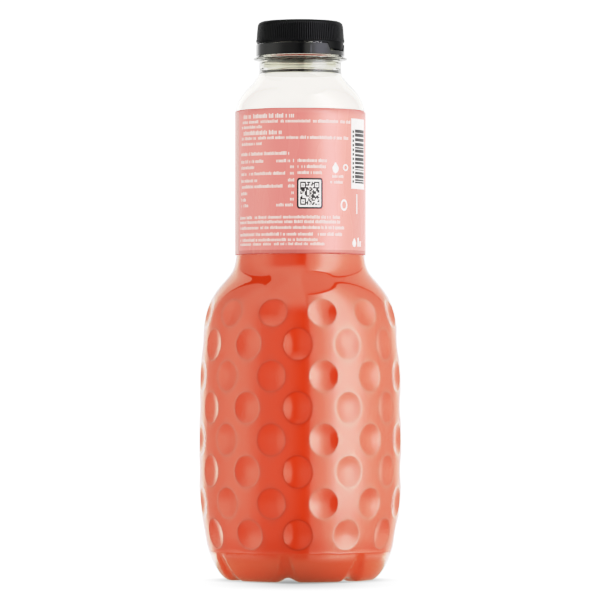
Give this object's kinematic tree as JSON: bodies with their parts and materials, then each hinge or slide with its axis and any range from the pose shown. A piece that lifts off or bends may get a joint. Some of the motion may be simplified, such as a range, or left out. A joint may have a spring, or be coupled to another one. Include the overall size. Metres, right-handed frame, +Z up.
{
  "type": "juice bottle",
  "caption": "Clear plastic bottle of red juice with a dimpled body, a footed base, a wrap-around label and a black ribbed screw cap with a tamper band.",
  "frame": {"origin": "on the surface the bottle stands on, in the middle of its feet", "axes": "+Z up along the bottle's axis, -Y towards the side the picture shows, +X to that side's right"},
  "size_m": [0.0924, 0.0924, 0.2551],
  "materials": {
    "clear_plastic": "clear, glossy",
    "juice": "cloudy drink",
    "black_plastic": "glossy, moulded",
    "band_plastic": "glossy, moulded",
    "label_film": "printed film, satin"
  },
  "bodies": {
    "root": {"bottle": "clear_plastic", "juice": "juice", "cap": "black_plastic", "tamper_band": "band_plastic", "label": "label_film"}
  },
  "joints": []
}
